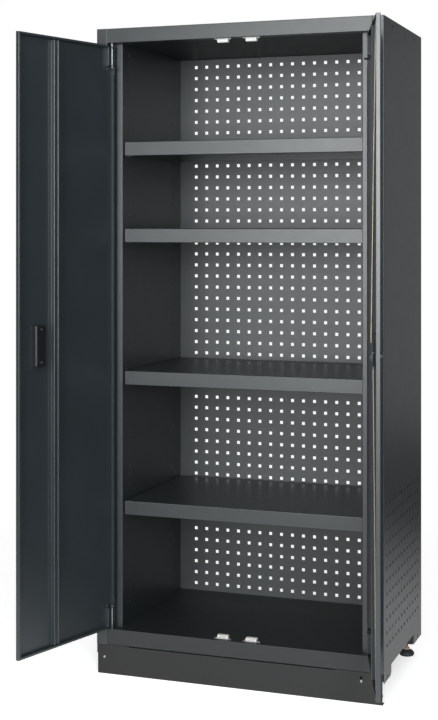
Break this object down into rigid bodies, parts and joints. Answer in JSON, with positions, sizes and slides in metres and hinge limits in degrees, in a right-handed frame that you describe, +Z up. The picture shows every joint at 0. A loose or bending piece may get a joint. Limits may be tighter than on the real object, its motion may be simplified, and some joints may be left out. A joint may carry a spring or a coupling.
{
  "type": "tall cabinet",
  "caption": "Tall two-door workshop cabinet in folded sheet: perforated back, adjustable shelves, rod lock, flush pull, magnetic catches, plinth and levelling feet.",
  "frame": {"origin": "on the floor, at the middle of the plinth's folded bottom lip", "axes": "+X to the right seen from the front, +Y from the front into the cabinet, +Z up"},
  "size_m": [1.0591, 0.8911, 1.978],
  "materials": {
    "dark_paint": "satin anthracite powder coat",
    "black_steel": "blackened",
    "zinc_steel": "bright zinc",
    "yellow_zinc": "yellow passivated zinc",
    "black_plastic": "fine texture",
    "white_plastic": "moulded"
  },
  "bodies": {
    "carcass": {"left_side_panel": "dark_paint", "right_side_panel": "dark_paint", "left_inner_wall": "dark_paint", "right_inner_wall": "dark_paint", "back_panel": "dark_paint", "back_rivets": "black_steel", "roof_panel": "dark_paint", "ceiling_panel": "dark_paint", "floor_panel": "dark_paint", "base_tray": "dark_paint", "plinth": "dark_paint", "plinth_screws": "zinc_steel", "shelf_1": "dark_paint", "shelf_2": "dark_paint", "shelf_3": "dark_paint", "shelf_4": "dark_paint", "shelf_clips": "black_steel", "hinge_bushes": "black_plastic", "catch_plates": "zinc_steel", "catch_housings": "white_plastic", "catch_poles": "zinc_steel", "catch_screws": "zinc_steel", "foot_brackets": "dark_paint", "foot_weld_nuts": "zinc_steel"},
    "left_door": {"left_door_skin": "dark_paint", "left_door_stiffener": "dark_paint", "left_hinge_brackets": "dark_paint", "pull_cup": "black_plastic", "pull_screws": "zinc_steel"},
    "right_door": {"right_door_skin": "dark_paint", "right_door_stiffener": "dark_paint", "right_hinge_brackets": "dark_paint", "lock_housing": "black_plastic", "rod_guides": "black_plastic"},
    "left_upper_hinge_pin": {"left_upper_hinge_pin": "zinc_steel"},
    "left_lower_hinge_pin": {"left_lower_hinge_pin": "zinc_steel"},
    "right_upper_hinge_pin": {"right_upper_hinge_pin": "zinc_steel"},
    "right_lower_hinge_pin": {"right_lower_hinge_pin": "zinc_steel"},
    "lock": {"lock_knob": "black_plastic", "lock_cam": "zinc_steel", "cam_nut": "zinc_steel"},
    "key_plug": {"key_plug": "zinc_steel"},
    "upper_lock_rod": {"upper_lock_rod": "yellow_zinc"},
    "lower_lock_rod": {"lower_lock_rod": "yellow_zinc"},
    "front_left_foot": {"front_left_foot_pad": "black_plastic", "front_left_foot_stem": "yellow_zinc"},
    "front_right_foot": {"front_right_foot_pad": "black_plastic", "front_right_foot_stem": "yellow_zinc"},
    "rear_left_foot": {"rear_left_foot_pad": "black_plastic", "rear_left_foot_stem": "yellow_zinc"},
    "rear_right_foot": {"rear_right_foot_pad": "black_plastic", "rear_right_foot_stem": "yellow_zinc"}
  },
  "joints": [
    {"name": "left_door_swing", "type": "hinge", "parent": "carcass", "child": "left_door", "pos_m": [-0.4044, -0.003, 1.0337], "axis": [0, 0, 1], "range_deg": [0, 106.4]},
    {"name": "right_door_swing", "type": "hinge", "parent": "carcass", "child": "right_door", "pos_m": [0.4044, -0.003, 1.0337], "axis": [0, 0, -1], "range_deg": [0, 107.4]},
    {"name": "left_upper_hinge_pin_pull", "type": "slide", "parent": "left_door", "child": "left_upper_hinge_pin", "axis": [0, 0, -1], "range_m": [0, 0.012]},
    {"name": "left_lower_hinge_pin_pull", "type": "slide", "parent": "left_door", "child": "left_lower_hinge_pin", "axis": [0, 0, 1], "range_m": [0, 0.012]},
    {"name": "right_upper_hinge_pin_pull", "type": "slide", "parent": "right_door", "child": "right_upper_hinge_pin", "axis": [0, 0, -1], "range_m": [0, 0.012]},
    {"name": "right_lower_hinge_pin_pull", "type": "slide", "parent": "right_door", "child": "right_lower_hinge_pin", "axis": [0, 0, 1], "range_m": [0, 0.012]},
    {"name": "lock_turn", "type": "hinge", "parent": "right_door", "child": "lock", "pos_m": [0.50768, -0.30247, 1.028], "axis": [0.9542, 0.299, 0], "range_deg": [0, 90]},
    {"name": "key_turn", "type": "hinge", "parent": "lock", "child": "key_plug", "pos_m": [0.50768, -0.30247, 1.028], "axis": [0.9542, 0.299, 0], "range_deg": [0, 90]},
    {"name": "upper_rod_slide", "type": "slide", "parent": "right_door", "child": "upper_lock_rod", "axis": [0.0138, 0.0043, 0.9999], "range_m": [0, 0.0198]},
    {"name": "lower_rod_slide", "type": "slide", "parent": "right_door", "child": "lower_lock_rod", "axis": [0.0089, 0.0028, -1], "range_m": [0, 0.0198]},
    {"name": "front_left_foot_screw", "type": "hinge", "parent": "carcass", "child": "front_left_foot", "pos_m": [-0.411, 0.046, 0], "axis": [0, 0, 1], "continuous": true},
    {"name": "front_right_foot_screw", "type": "hinge", "parent": "carcass", "child": "front_right_foot", "pos_m": [0.411, 0.046, 0], "axis": [0, 0, 1], "continuous": true},
    {"name": "rear_left_foot_screw", "type": "hinge", "parent": "carcass", "child": "rear_left_foot", "pos_m": [-0.411, 0.47, 0], "axis": [0, 0, 1], "continuous": true},
    {"name": "rear_right_foot_screw", "type": "hinge", "parent": "carcass", "child": "rear_right_foot", "pos_m": [0.411, 0.47, 0], "axis": [0, 0, 1], "continuous": true}
  ],
  "couplings": [
    {"joint": "lower_rod_slide", "follows": "upper_rod_slide", "ratio": 1},
    {"joint": "lock_turn", "follows": "upper_rod_slide", "rad_per_m": 79.333}
  ]
}
